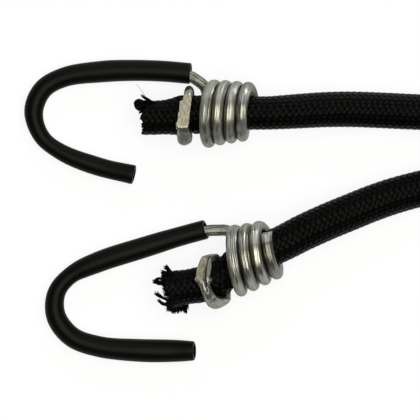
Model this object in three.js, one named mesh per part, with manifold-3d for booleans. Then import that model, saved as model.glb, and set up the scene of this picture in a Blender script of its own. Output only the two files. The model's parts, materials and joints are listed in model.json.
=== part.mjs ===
// Bungee cord: a braided elastic cord, doubled back on itself, with an open wire hook at each end.
// Millimetres, +Z up. The cord and both hooks lie on the plane z = 0.
// Each hook has its own frame: the origin is under the mouth of its coil, +X runs along the coil
// towards the free cord and +Y points to the side that the hook's shank leaves from.
import * as THREE from 'three';
import { mergeVertices } from 'three/addons/utils/BufferGeometryUtils.js';
import Module from 'manifold-3d';

// Cord
const CORD_D = 10;
const GRIPPED_CORD_D = 9.2;
const JACKET_WALL = 0.9;
const OUTER_STRANDS = 6;

// Hook wire and its coil
const WIRE_D = 3.15;
const TURN_GAP = 0.57;
const COIL_FLARE = 1.45;
const COIL_LEAN = 0.18;
const NECK_CLEARANCE = 0.6;

// Vinyl sleeve over the hook
const SLEEVE_WALL = 0.95;
const SLEEVE_OVERHANG = 4;

// Clamp ring
const RING_WIRE_D = 3.15;
const RING_SLIT_DEG = 12;
const RING_CRUSH = 1;

// Clearances
const FIT_GAP = 0.3;
const END_GAP = 0.3;

// Facets
const CORD_SIDES = 12;
const STRAND_SIDES = 6;
const SLEEVE_SIDES = 12;
const WIRE_SIDES = 8;
const STEPS_PER_TURN = 20;
const RING_STEPS = 24;
const RINGS_PER_POINT = 2;
const GAP_SAMPLES = 900;
const MARKS_PER_POINT = 20;

// Sizes that follow from the ones above
const GRIPPED_R = GRIPPED_CORD_D / 2;
const WIRE_R = WIRE_D / 2;
const COIL_PITCH = WIRE_D + TURN_GAP;
const NECK_R = GRIPPED_R + NECK_CLEARANCE + WIRE_R;
const MOUTH_R = NECK_R + COIL_FLARE;
const AXIS_Z = MOUTH_R + WIRE_R;
const BACK_Z = AXIS_Z - MOUTH_R;
const BORE_R = (WIRE_R + FIT_GAP) / Math.cos(Math.PI / SLEEVE_SIDES);
const SLEEVE_R = BORE_R + SLEEVE_WALL;
const SHANK_Z = SLEEVE_R * Math.cos(Math.PI / SLEEVE_SIDES);
const RING_R = GRIPPED_R + FIT_GAP + RING_WIRE_D / 2;
const LYING_Z = CORD_D / 2;
const GRIPPED_BORE_R = (GRIPPED_R - JACKET_WALL) * Math.cos(Math.PI / CORD_SIDES);
const STRAND_D = (2 * GRIPPED_BORE_R - 4 * FIT_GAP) / 3;

// The two ends. mouth: where the hook's frame stands. outline: the sleeve's middle line from the tip
// to the shank, measured from the shank's end. lead: the bare wire from there to the back of the coil.
// tail: the cord from its cut end through the ring and the coil, measured from the coil's axis.
const ENDS = {
  a: {
    mouth: [14.9, 27.4],
    turnDeg: 2.5,
    coilTurns: 3.9,
    coilSkew: 0.05,
    shankX: -3,
    shankStandoff: 1.8,
    outline: [
      [-18, -27.8], [-27.4, -25.1], [-38.1, -20.6], [-43.9, -15.7], [-45.8, -8.7],
      [-42.8, -2.6], [-36.6, 0.8], [-26.3, 2.1], [-12.5, 1.7], [0, 0],
    ],
    lead: [[1.7, -1.2], [3.5, -4], [4, -7.6]],
    ringX: -5.3,
    ringY: 0,
    ringLean: 0.04,
    ringSkew: -0.1,
    tail: [[-19.3, 0, 0], [-12, 0, 0], [-5.2, 0, 0], [2, 0, 0], [10, 0, 0], [18, -0.1, -0.3]],
  },
  b: {
    mouth: [22.3, -15.1],
    turnDeg: 20,
    coilTurns: 3.62,
    coilSkew: 0.12,
    shankX: -3.6,
    shankStandoff: 1.25,
    outline: [
      [-14.7, -30.9], [-29.7, -25.3], [-40.1, -20.3], [-46.1, -15.2], [-48.4, -8.2],
      [-46.2, -2], [-40.8, 1.4], [-31.8, 2.4], [-18.6, 1.8], [0, 0],
    ],
    lead: [[2.5, -0.7], [4.8, -2.4], [5.3, -6]],
    ringX: -7,
    ringY: -1.9,
    ringLean: 0.4,
    ringSkew: 0.1,
    tail: [
      [-21.6, -1, 0], [-15, -1.8, 0], [-10.9, -2, 0], [-7, -1.9, 0], [-3.8, -1.5, 0],
      [-0.2, -0.8, 0], [5.8, -0.2, 0], [11, 0, 0], [17, 0.5, -0.3],
    ],
  },
};

// The free cord between the two coils: its line in plan, and its lift over where it lies flat.
const RUN_A = [
  [37.6, 28.2, 4.1], [43.3, 28.5, 3.2], [50.2, 28.8, 2.1], [57, 28.9, 1.2], [63.9, 28.7, 0.5],
  [77.6, 28.1, 0], [104.6, 27.3, 0], [133.6, 27.1, 0],
];
const BIGHT = [
  [163.1, 27.3, 0], [176.1, 29.4, 0], [187.1, 36, 0], [196.1, 45, 0], [209.1, 50, 0], [222.1, 48, 0],
  [232.6, 39.5, 0], [238.1, 27, 0], [238.1, 13.6, 0], [232.6, 1.1, 0], [222.1, -7.4, 0], [209.1, -9.4, 0],
  [196.1, -4.4, 0], [187.1, 4.6, 0], [176.1, 11.2, 0], [163.1, 13.3, 0],
];
const RUN_B = [
  [134.6, 13.4, 0], [108.6, 12, 0], [89.6, 9.2, 0], [75.3, 5.9, 0], [68.5, 4, 0.3], [62.2, 1.8, 0.9],
  [56.5, -0.5, 1.7], [51.3, -2.6, 2.5], [46.7, -4.6, 3.2], [42.2, -6.7, 4],
];

const BLACK_BRAID = { color: 0x0b0b0d, roughness: 0.72, metalness: 0 };
const LATEX = { color: 0x1c1a18, roughness: 0.6, metalness: 0 };
const ZINC = { color: 0x9c9a90, roughness: 0.32, metalness: 0.95 };
const CRUSHED_ZINC = { color: 0xb9b6a8, roughness: 0.5, metalness: 0.8 };
const BLACK_VINYL = { color: 0x0d0e0e, roughness: 0.42, metalness: 0 };

const wasm = await Module();
wasm.setup();

// A line whose tube has its sections at chosen marks along a smooth curve. On a level line every
// section keeps one facet facing straight down.
class Route extends THREE.Curve {
  constructor(curve, marks, level) {
    super();
    this.curve = curve;
    this.marks = marks;
    this.level = level;
  }

  get steps() {
    return this.marks.length - 1;
  }

  getPoint(t, target) {
    return this.curve.getPoint(t, target);
  }

  getUtoTmapping(u) {
    const place = u * this.steps;
    const before = Math.min(Math.floor(place), this.steps - 1);
    return THREE.MathUtils.lerp(this.marks[before], this.marks[before + 1], place - before);
  }

  computeFrenetFrames(segments, closed) {
    if (!this.level) {
      return super.computeFrenetFrames(segments, closed);
    }
    const frames = { tangents: [], normals: [], binormals: [] };
    for (let i = 0; i <= segments; i += 1) {
      const tangent = this.getTangentAt(i / segments);
      const normal = tangent.clone().multiplyScalar(tangent.z);
      normal.z -= 1;
      normal.normalize();
      frames.tangents.push(tangent);
      frames.normals.push(normal);
      frames.binormals.push(new THREE.Vector3().crossVectors(tangent, normal));
    }
    return frames;
  }
}

function smoothLine(points) {
  const line = new THREE.CatmullRomCurve3(points, false, 'centripetal');
  line.arcLengthDivisions = (points.length - 1) * MARKS_PER_POINT;
  return line;
}

function polygon(path, radius, sides, x, y) {
  for (let i = 0; i < sides; i += 1) {
    const angle = (i + 0.5) * 2 * Math.PI / sides;
    const px = x + radius * Math.cos(angle);
    const py = y + radius * Math.sin(angle);
    if (i === 0) {
      path.moveTo(px, py);
    } else {
      path.lineTo(px, py);
    }
  }
  path.closePath();
  return path;
}

function rodSection(radius, sides, x = 0, y = 0) {
  return polygon(new THREE.Shape(), radius, sides, x, y);
}

function tubeSection(radius, boreRadius, sides) {
  const section = rodSection(radius, sides);
  section.holes.push(polygon(new THREE.Path(), boreRadius, sides, 0, 0));
  return section;
}

function sweep(section, route) {
  return new THREE.ExtrudeGeometry(section, { extrudePath: route, steps: route.steps });
}

function piece(name, geometry, finish) {
  const mesh = new THREE.Mesh(geometry, new THREE.MeshStandardMaterial(finish));
  mesh.name = name;
  return mesh;
}

function solidOf(geometry) {
  const bare = geometry.clone();
  bare.deleteAttribute('normal');
  bare.deleteAttribute('uv');
  const merged = mergeVertices(bare, 1e-4);
  return new wasm.Manifold(new wasm.Mesh({
    numProp: 3,
    vertProperties: new Float32Array(merged.attributes.position.array),
    triVerts: new Uint32Array(merged.index.array),
  }));
}

function geometryOf(solid) {
  const mesh = solid.getMesh();
  const geometry = new THREE.BufferGeometry();
  geometry.setAttribute('position', new THREE.BufferAttribute(mesh.vertProperties, 3));
  geometry.setIndex(new THREE.BufferAttribute(mesh.triVerts, 1));
  geometry.computeVertexNormals();
  return geometry;
}

// Least distance between two stretches of one round line, less its diameter. Points nearer to each
// other along the line than twice the diameter are the same stretch.
function leastGap(line, diameter) {
  const points = line.getSpacedPoints(GAP_SAMPLES);
  const apart = Math.ceil(2 * diameter / (line.getLength() / GAP_SAMPLES));
  let least = Infinity;
  for (let i = 0; i < points.length; i += 1) {
    for (let j = i + apart; j < points.length; j += 1) {
      least = Math.min(least, points[i].distanceTo(points[j]));
    }
  }
  return least - diameter;
}

// A left-handed cone of turns. It starts under the axis at the mouth and narrows to the cord.
function coilPoints(end) {
  const steps = Math.round(end.coilTurns * STEPS_PER_TURN);
  const points = [];
  for (let i = 0; i <= steps; i += 1) {
    const share = i / steps;
    const turns = share * end.coilTurns;
    const angle = -Math.PI / 2 - turns * 2 * Math.PI;
    const radius = THREE.MathUtils.lerp(MOUTH_R, NECK_R, share);
    const y = radius * Math.cos(angle);
    const rise = radius * Math.sin(angle);
    const x = turns * COIL_PITCH - COIL_LEAN * rise + end.coilSkew * y;
    points.push(new THREE.Vector3(x, y, AXIS_Z + rise));
  }
  return points;
}

// The hook's middle line, from the sleeve's tip round the hook and down the shank into the coil.
function hookLine(end) {
  const shankY = MOUTH_R + WIRE_R + end.shankStandoff;
  const points = end.outline.map(([x, y]) => new THREE.Vector3(end.shankX + x, shankY + y, SHANK_Z));
  end.lead.forEach(([x, y], i) => {
    const z = THREE.MathUtils.lerp(SHANK_Z, BACK_Z, (i + 1) / (end.lead.length + 1));
    points.push(new THREE.Vector3(end.shankX + x, shankY + y, z));
  });
  return smoothLine([...points, ...coilPoints(end)]);
}

// Marks between two places on a line: its ends, and the evenly shared points that lie between them.
function marksBetween(from, to, step) {
  const marks = [from];
  for (let mark = Math.floor(from / step + 1) * step; mark < to - step / 4; mark += step) {
    if (mark - from > step / 4) {
      marks.push(mark);
    }
  }
  marks.push(to);
  return marks;
}

function hookWire(key, end, line) {
  const interval = 1 / (line.points.length - 1);
  const tip = line.getUtoTmapping(0, SLEEVE_OVERHANG);
  const coilStart = (end.outline.length + end.lead.length) * interval;
  const hookMarks = marksBetween(tip, coilStart, interval / RINGS_PER_POINT);
  const coilMarks = marksBetween(coilStart, 1, interval);
  const route = new Route(line, [...hookMarks, ...coilMarks.slice(1)], false);
  return piece(`hook_wire_${key}`, sweep(rodSection(WIRE_R, WIRE_SIDES), route), ZINC);
}

function hookSleeve(key, end, line) {
  const interval = 1 / (line.points.length - 1);
  const shankEnd = (end.outline.length - 1) * interval;
  const marks = marksBetween(0, shankEnd, interval / RINGS_PER_POINT);
  const section = tubeSection(SLEEVE_R, BORE_R, SLEEVE_SIDES);
  return piece(`hook_sleeve_${key}`, sweep(section, new Route(line, marks, true)), BLACK_VINYL);
}

// One open turn of wire round the cord's tail, with its two ends crushed flat on top.
function clampRing(key, end) {
  const slit = THREE.MathUtils.degToRad(RING_SLIT_DEG);
  const points = [];
  for (let i = 0; i <= RING_STEPS; i += 1) {
    const angle = (Math.PI + slit) / 2 + i / RING_STEPS * (2 * Math.PI - slit);
    const y = RING_R * Math.cos(angle);
    const rise = RING_R * Math.sin(angle);
    const x = end.ringX - end.ringLean * rise - end.ringSkew * y;
    points.push(new THREE.Vector3(x, end.ringY + y, AXIS_Z + rise));
  }
  const line = smoothLine(points);
  const route = new Route(line, marksBetween(0, 1, 1 / RING_STEPS), false);
  const turn = solidOf(sweep(rodSection(RING_WIRE_D / 2, WIRE_SIDES), route));
  const block = new THREE.BoxGeometry(4 * RING_R, 4 * RING_R, 2 * RING_R);
  const flatZ = AXIS_Z + RING_R + RING_WIRE_D / 2 - RING_CRUSH;
  block.translate(end.ringX, end.ringY, flatZ + RING_R);
  return piece(`clamp_ring_${key}`, geometryOf(turn.subtract(solidOf(block))), CRUSHED_ZINC);
}

function hookFrame(end) {
  const frame = new THREE.Group();
  frame.position.set(end.mouth[0], end.mouth[1], 0);
  frame.rotation.z = THREE.MathUtils.degToRad(end.turnDeg);
  frame.updateMatrix();
  return frame;
}

function hookPieces(key, end, frame) {
  const line = hookLine(end);
  frame.add(hookWire(key, end, line));
  frame.add(hookSleeve(key, end, line));
  frame.add(clampRing(key, end));
  console.log(`hook_wire_${key} least gap to itself ${leastGap(line, WIRE_D).toFixed(2)} mm`);
}

function tailPoints(end, frame) {
  return end.tail.map(([x, y, z]) => new THREE.Vector3(x, y, AXIS_Z + z).applyMatrix4(frame.matrix));
}

function lyingPoints(points) {
  return points.map(([x, y, lift]) => new THREE.Vector3(x, y, LYING_Z + lift));
}

// One length of the cord: its jacket, and the strands inside it.
function cordLength(group, name, route, diameter) {
  const bore = diameter / 2 - JACKET_WALL;
  const section = tubeSection(diameter / 2, bore, CORD_SIDES);
  group.add(piece(`jacket_${name}`, sweep(section, route), BLACK_BRAID));
  const ringR = bore * Math.cos(Math.PI / CORD_SIDES) - FIT_GAP - STRAND_D / 2;
  for (let i = 0; i <= OUTER_STRANDS; i += 1) {
    const angle = i * 2 * Math.PI / OUTER_STRANDS;
    const x = i === 0 ? 0 : ringR * Math.cos(angle);
    const y = i === 0 ? 0 : ringR * Math.sin(angle);
    const strand = rodSection(STRAND_D / 2, STRAND_SIDES, x, y);
    group.add(piece(`strand_${i + 1}_${name}`, sweep(strand, route), LATEX));
  }
}

// The whole cord in five lengths, which meet end to end: a gripped tail in each coil, a stretching
// run from each coil, and the bight where the cord turns back.
function cordPieces(group, frameA, frameB) {
  const tailA = tailPoints(ENDS.a, frameA);
  const tailB = tailPoints(ENDS.b, frameB).reverse();
  const runA = lyingPoints(RUN_A);
  const runB = lyingPoints(RUN_B);
  const bight = lyingPoints(BIGHT);
  const points = [...tailA, ...runA, ...bight, ...runB, ...tailB];
  const line = smoothLine(points);
  const exitA = tailA.length - 1;
  const bendA = tailA.length + runA.length;
  const bendB = bendA + bight.length - 1;
  const exitB = points.length - tailB.length;
  const lengths = [
    ['end_a', 0, exitA, GRIPPED_CORD_D, 1],
    ['run_a', exitA, bendA, CORD_D, 1],
    ['bight', bendA, bendB, CORD_D, RINGS_PER_POINT],
    ['run_b', bendB, exitB, CORD_D, 1],
    ['end_b', exitB, points.length - 1, GRIPPED_CORD_D, 1],
  ];
  const along = line.getLengths();
  const interval = 1 / (points.length - 1);
  lengths.forEach(([name, from, to, diameter, rings]) => {
    const start = along[from * MARKS_PER_POINT] + (from > 0 ? END_GAP / 2 : 0);
    const stop = along[to * MARKS_PER_POINT] - (to < points.length - 1 ? END_GAP / 2 : 0);
    const first = line.getUtoTmapping(0, start);
    const last = line.getUtoTmapping(0, stop);
    const marks = marksBetween(first, last, interval / rings);
    cordLength(group, name, new Route(line, marks, true), diameter);
  });
  console.log(`cord length ${line.getLength().toFixed(1)} mm`);
  console.log(`cord least gap to itself ${leastGap(line, CORD_D).toFixed(2)} mm`);
}

const bungee = new THREE.Group();
const frameA = hookFrame(ENDS.a);
const frameB = hookFrame(ENDS.b);
hookPieces('a', ENDS.a, frameA);
hookPieces('b', ENDS.b, frameB);
bungee.add(frameA, frameB);
cordPieces(bungee, frameA, frameB);

export default bungee;
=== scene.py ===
import json
import math

import bpy
import numpy as np
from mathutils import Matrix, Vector, noise


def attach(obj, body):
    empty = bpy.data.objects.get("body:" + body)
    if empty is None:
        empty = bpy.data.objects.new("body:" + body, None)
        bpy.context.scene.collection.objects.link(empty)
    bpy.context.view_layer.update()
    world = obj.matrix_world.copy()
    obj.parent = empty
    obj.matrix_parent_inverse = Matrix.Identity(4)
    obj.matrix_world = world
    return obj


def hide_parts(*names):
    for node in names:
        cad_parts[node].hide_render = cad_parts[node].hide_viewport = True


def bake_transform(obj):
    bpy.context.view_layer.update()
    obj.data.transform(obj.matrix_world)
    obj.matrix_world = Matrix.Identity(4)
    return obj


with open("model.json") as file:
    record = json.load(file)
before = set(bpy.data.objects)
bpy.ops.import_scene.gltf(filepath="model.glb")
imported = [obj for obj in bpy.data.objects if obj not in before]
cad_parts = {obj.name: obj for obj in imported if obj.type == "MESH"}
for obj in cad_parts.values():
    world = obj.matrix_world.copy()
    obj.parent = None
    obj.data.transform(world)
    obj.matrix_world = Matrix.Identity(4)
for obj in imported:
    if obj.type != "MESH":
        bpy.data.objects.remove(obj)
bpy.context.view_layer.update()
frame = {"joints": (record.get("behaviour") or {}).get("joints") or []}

JOINTS = {joint["name"]: joint for joint in frame["joints"]}
ENDS = ("a", "b")
MM = 0.001

# Picture, in millimetres on the table
PICTURE_WIDTH = 120.0
PICTURE_CENTRE = (16.46, 0.14, 6.0)
CAMERA_HEIGHT = 750.0
CAMERA_REACH = 20000.0
SENSOR_WIDTH = 36.0

# Cord, in millimetres. A yarn's section is in shares of its width and thickness.
CORD_D = 10.0
LYING_Z = CORD_D / 2
CARRIERS = 20
BRAID_PITCH = 17.5
BRAID_SEED = 3
YARN_WIDTH = 1.62
YARN_THICKNESS = 0.22
YARN_STEP = 0.25
YARN_SECTION = [(-0.5, -0.4), (-0.35, 0.28), (0.0, 0.5), (0.35, 0.28), (0.5, -0.4)]
CROSSING_STEEPNESS = 1.35
BACKING_DEPTH = 0.5
BACKING_WALL = 0.2
STRANDS = 7
STRAND_D = 2.3
STRAND_GAP = 0.1
STRAND_EDGE = 0.2
CORE_STEP = 2.5
ROUTE_STEP = 0.5
PATH_STEP = 2.0

# Loose yarn at the cut ends, in millimetres. The cord's route goes on past each cut by the loose end.
LOOSE_END = 6.0
FILAMENT_R = 0.17
FILAMENT_POINTS = 14
FILAMENT_SIDES = 5
ROOT_SPREAD = 0.3
TIP_TAPER = 0.6
FRAY_SEED = 11
THREAD_R = 0.07
THREAD_POINTS = 20
THREAD_SEED = 5

# Bundles of loose yarn: the filaments in each yarn, and their spread and curl in millimetres
LOOP = (48, 0.6, 0.7)
LOOP_YARNS = 3
WISPS = (16, 0.4, 0.5)
TUFTS = (16, 0.45, 0.9)
STUBS = (8, 0.4, 0.9)
HANGING = (32, 0.5, 0.7)
STRAY = (2, 0.08, 0.5)

# Stubs of yarn all round a cut, in millimetres: their way in from it and their reach over the jacket
STUB_ROOT = [(1.6, -0.35), (0.3, -0.25)]
STUB_TIP = -0.7
STUB_FLARE = 0.1
STUB_UNEVEN = 0.6
STUB_ASKEW = 0.4

# Noise on yarns: gaps in metres that give each its own
YARN_GAP = 0.01
WANDER_GAP = 0.05
WANDER_SCALE = 900.0
FRAY_LENGTH = 0.004
SHADE_SEED = 7

# Hook wire, sleeve and clamp ring, in millimetres
WIRE_R = 1.63
WIRE_EDGE = 0.25
WIRE_STEP = 0.6
COIL_R = 9.8
COIL_STEPS = 20
AXIS_Z = COIL_R
SHANK_Z = 2.793
SLEEVE_WALL = 0.95
SLEEVE_FIT = 0.03
SLEEVE_EDGE = 0.4
SLEEVE_STEP = 0.8
SLEEVE_OVERHANG = 4.0
RING_WIRE_R = 1.575

# Painted shade on the hook wire at its neck and its last turn, and a painted highlight on its cut tip: first
# and last place in millimetres from the tip, and the shades before and after
NECK_PAINTED_SHADE = (102.0, 110.0, 0.45, 1.0)
LAST_TURN_PAINTED_SHADE = (272.0, 284.0, 1.0, 0.5)
TIP_PAINTED_HIGHLIGHT = (287.6, 288.8, 0.0, 0.9)
ZINC_COLOR = (0.3, 0.3, 0.27)
ZINC_TINT = (0.6, 0.6, 0.58)

# What the pliers did to the clamp rings, and the painted shade on them, in millimetres and degrees. A noise
# ends with its scale and seed.
DENT_DEPTH = 0.35
DENT_EDGE = 12.0
DENT_NOISE = (1.1, 6.4)
TOP_PRESSED = 0.9
FACE_EDGE = 0.25
FACE_WAVES = [(0.14, 0.9, 4.2), (0.1, 2.6, 8.1)]
SEAM_EDGE = 15.0
FLAP_CRUSH = 0.5
# Painted shade on the rings: its even share, its spots and their noise, and the shade above which a face is
# black.
PAINTED_SHADE_EVEN = 0.8
PAINTED_SHADE_SPOTS = 0.6
PAINTED_SHADE_NOISE = (0.9, 2.3)
PAINTED_BLACK_FROM = 0.6
CREASE = 50.0

# Table, in metres
FLOOR_Z = -0.00065
FLOOR_COLOR = (0.88, 0.89, 0.98)
FLOOR_WHITE = 0.86
WALL_R = 6.0
WALL_HEIGHT = 1.2
WALL_SIDES = 64

# Light: each lamp's place and size in metres, its power in watts and its colour
LAMPS = {
    "overhead": ((0.15, -0.02, 0.9), (0.85, 0.76), 10.3, (1.0, 0.985, 0.84)),
    "side": ((0.05, 0.75, 0.5), (0.9, 0.6), 2.8, (0.97, 0.98, 1.0)),
    "low": ((0.5, 0.87, 0.06), (0.3, 0.1), 2.2, (1.0, 1.0, 1.0)),
}
ROOM_COLOR = (1.0, 1.0, 0.98)
ROOM_STRENGTH = 0.06

# Facets
WIRE_SIDES = 24
SLEEVE_SIDES = 32
STRAND_SIDES = 10
BACKING_SIDES = 32
SPAN_POINTS = 24
RING_STEPS = 216
RING_SIDES = 72

# Rounded edges, slanting ends and joined points: shares of a size, then millimetres, then metres
EDGE_MIDDLE = 0.3
SLANT_FADE = 2.5
LEAST_FADE = 1.0
MERGE_DISTANCE = 1e-7

# The two ends, in millimetres from the coil's mouth, +X along the coil to the free cord, +Y to the shank:
#   turns, pitch, flare, start: the coil, with how much smaller it is at its neck and where it begins
#   lean, skew: how far its top leans back and its shank side forward, at its mouth and at its neck
#   oval, bulge, drift: its width by its height, how far its first turns swell, and its later ones move
#   shank, outline: the shank's end and how far it stands off the coil, and the sleeve's line to there
#   sag, tip_lift: how far the wire lies off that line's end, and how far the tip is lifted
#   lead, tail: the bare wire from shank to coil, and the cord from its cut end, off the coil's axis
#   cut, ragged: how far the jacket has frayed back from the cord's end, and how unevenly
#   wire_slant, mouth_slant: how far the upper side stands back at the wire's end and the sleeve's mouth
#   sleeve: its radius by the way from its tip
HOOK = {
    "a": {
        "turns": 3.9, "pitch": 3.22, "flare": 1.45, "start": 0.4, "lean": (0.24, 0.16), "skew": (0.05, 0.05),
        "oval": 1.0, "bulge": 0.01, "drift": 0.25, "shank": (-3.15, 2.0), "sag": (-0.4, -0.75),
        "tip_lift": 0.9, "cut": 1.9, "ragged": 0.3, "wire_slant": 0.5, "mouth_slant": 0.6,
        "outline": [(-17.75, -28.1), (-27.5, -25.4), (-38.15, -20.8), (-43.8, -15.95), (-45.8, -8.75),
                    (-42.9, -2.45), (-36.6, 0.8), (-26.3, 1.9), (-17.2, 1.9), (-8, 1.25), (0, 0.2)],
        "lead": [(0.9, -1.35), (3.6, -3.8), (4.4, -7.5)],
        "tail": [(-19.3, -0.25, 0), (-12, -0.4, 0), (-5.2, -0.15, 0), (2, 0, 0), (10, -0.1, 0),
                 (18, -0.45, -0.3)],
        "sleeve": [(0, 2.8), (6, 2.68), (13, 2.69), (19, 2.52), (25, 2.3), (29, 2.36), (33, 2.5), (38, 2.78),
                   (49, 2.82), (57, 3.0), (63, 3.13), (72, 3.05), (88, 3.03)],
    },
    "b": {
        "turns": 3.67, "pitch": 3.56, "flare": 1.45, "start": 0.5, "lean": (0.18, 0.27),
        "skew": (0.135, 0.09), "oval": 1.03, "bulge": 0.1, "drift": -0.15, "shank": (-3.6, 1.25),
        "sag": (-1, -0.4), "tip_lift": 1.0, "cut": 2.1, "ragged": 0.5, "wire_slant": 3.4, "mouth_slant": 1.7,
        "outline": [(-14.65, -31.15), (-19.85, -29.3), (-29.75, -25.55), (-40.2, -20.55), (-46.4, -15.3),
                    (-48.6, -8.2), (-46.2, -2), (-40.75, 1.3), (-31.8, 2.2), (-18.6, 1.7), (-8, 1.15),
                    (1.2, 0.4)],
        "lead": [(3.4, -0.95), (6.1, -2.2), (6.7, -5.55)],
        "tail": [(-21.6, -0.5, 0), (-15, -1.75, 0), (-10.4, -2.65, 0), (-7.2, -2.95, 0), (-3.8, -2.6, 0),
                 (-0.2, -1.2, 0), (5.8, -0.2, 0), (11, 0, 0), (17, 0.5, -0.3)],
        "sleeve": [(0, 2.75), (2.5, 3.0), (6, 3.2), (11, 3.32), (17, 3.28), (24, 3.1), (33, 2.98), (41, 2.93),
                   (47, 2.75), (53, 2.53), (57, 2.5), (61, 2.83), (65, 3.0), (72, 3.08), (83, 3.0),
                   (89, 2.84), (92, 2.8)],
    },
}

# The clamp rings, in millimetres and in degrees from the shank's side over the top. Left is to the cut end:
#   radius, centre: of the wire's middle line, from the coil's mouth
#   lean, skew: how far its top and its shank side lean to the left
#   left, right, round: how far the wire reaches to either side, and how round it is, by the angle
#   face, tilt: how far from the middle the pliers' flat lies, and its tilt from the top to the shank's side
#   top, top_slope: how far it reaches to the shank's side, and how much less it does on the right
#   seam: the place, half width, depth and first and last angle of the seam between the wire's two ends
#   stain, dents: how black its painted shade is, by the angle, and the first and last angle of its dents
RING = {
    "a": {
        "radius": 6.9, "centre": (-5.15, -0.2), "lean": 0.04, "skew": -0.16, "face": 7.08, "tilt": 9.0,
        "top": 9.0, "top_slope": 0.0, "seam": None, "dents": (122, 165),
        "left": [(0, 1.3), (48, 1.2), (58, 1.2), (60, 1.95), (82, 1.85), (84, 2.05), (104, 2.0), (106, 2.45),
                 (118, 2.4), (122, 1.9), (150, 1.8), (168, 1.7), (182, 1.2), (200, 1.2), (225, 1.575),
                 (320, 1.5)],
        "right": [(0, 1.3), (48, 1.35), (90, 1.2), (118, 1.35), (135, 2.2), (150, 2.6), (168, 2.5),
                  (182, 1.9), (200, 1.7), (225, 1.575), (320, 1.5)],
        "round": [(0, 1.0), (35, 0.9), (60, 0.45), (120, 0.45), (150, 0.8), (200, 1.0)],
        "stain": [(0, 1.2), (24, 1.1), (34, 0.6), (46, 0.2), (54, 0), (128, 0), (140, 0.35), (160, 0.6),
                  (185, 0.5), (200, 0.2), (220, 0), (330, 0), (345, 1)],
    },
    "b": {
        "radius": 6.475, "centre": (-5.95, -2.8), "lean": 0.5, "skew": -0.2, "face": 6.75, "tilt": 44.0,
        "top": 6.9, "top_slope": 0.4, "seam": (0.7, 0.2, 1.7, 2.0, 100.0), "dents": (88, 150),
        "left": [(0, 1.7), (25, 1.9), (45, 2.1), (68, 2.0), (71, 2.5), (77, 2.3), (80, 1.7),
                 (95, 1.3), (115, 1.0), (135, 1.2), (152, 1.6), (175, 1.8), (200, 1.65)],
        "right": [(0, 0.8), (20, 1.3), (40, 2.0), (48, 2.2), (52, 2.4), (80, 2.3), (85, 2.9), (89, 2.4),
                  (93, 2.0), (115, 2.2), (132, 2.4), (146, 3.1), (158, 3.8), (176, 3.8), (190, 3.4),
                  (205, 2.6), (220, 2.1), (238, 1.7), (256, 1.1), (300, 1.1), (345, 0.9)],
        "round": [(0, 0.8), (25, 0.6), (40, 0.5), (76, 0.5), (90, 1.0), (200, 1.0), (330, 1.0)],
        "stain": [(0, 0.3), (80, 0.3), (92, 0), (345, 0)],
    },
}

# Loose ends of yarn at the cut ends, as lines in millimetres. Those of end A begin with the loop.
LOOSE_YARNS = {
    "a": [
        [(-1.5, 29.6, 11.5), (-3.2, 28.5, 12.2), (-4.4, 29.3, 12.4), (-4.5, 30.8, 12.2), (-3.5, 31.2, 12),
         (-2.7, 30.4, 11.6), (-3.4, 29.4, 11.2)],
        [(-1.4, 30, 12), (-2.6, 29.7, 12.6), (-3.6, 29.9, 12.8), (-4.1, 30.2, 12.6)],
        [(-1.2, 30.6, 12), (-2.4, 30.8, 12.4), (-3.4, 30.7, 12.6), (-4.2, 29.6, 12.4)],
        [(0.2, 30.1, 12.5), (-1.4, 31.3, 13.4), (-2.9, 32.5, 13.8)],
        [(0.7, 30.4, 12.6), (-0.7, 31.2, 13.2), (-1.9, 31.9, 13.2)],
        [(-0.7, 28.1, 13), (-2.4, 28, 13), (-3.5, 27.7, 12.6)],
        [(-0.7, 26.4, 13.8), (-2.1, 26.4, 13.6), (-3.1, 26.1, 13)],
        [(-0.7, 24.7, 13), (-1.8, 24.6, 12.6), (-2.8, 24.3, 12)],
        [(-0.7, 23, 11), (-1.5, 22.9, 10.6), (-2.6, 22.4, 10)],
        [(-0.1, 22.4, 9), (-1, 22.2, 8.6), (-2.2, 22.1, 8.2)],
        [(2.6, 22.2, 8.6), (1, 21.9, 8.4), (-0.4, 22, 8.2), (-1.4, 22.3, 8.4)],
    ],
    "b": [
        [(5.6, -18.1, 12.8), (4.5, -16.9, 13), (3.5, -16, 13.2)],
        [(5.9, -17.9, 12.6), (4.8, -16.6, 12.8), (4.1, -15.6, 13)],
        [(5.6, -19.9, 13.4), (3.6, -19.7, 13.6), (2.2, -19.2, 13.6), (0.5, -20, 13.4)],
        [(5.6, -20.7, 13.4), (3.6, -20.9, 13.4), (2, -20.7, 13.2), (0.7, -20.2, 13.2)],
        [(5.6, -20.3, 13.2), (3.6, -20.4, 13.2), (2.2, -20.2, 13), (0.9, -20.1, 13)],
        [(5.3, -22.4, 13), (4.1, -22.6, 13), (3.2, -22.1, 12.8)],
        [(5.9, -25.5, 12), (4.2, -25.2, 12.2), (2.5, -24.4, 12.2), (1.1, -23.2, 12)],
        [(5.9, -27, 10), (4.3, -26.9, 10.4), (2.9, -26.4, 10.6), (1.7, -25.4, 10.6)],
        [(5.6, -18.7, 13), (4.9, -18.6, 13), (4.4, -18.3, 12.8)],
        [(5.9, -23.9, 13), (4.5, -23.7, 13), (3.5, -23.8, 12.8)],
    ],
}
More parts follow.
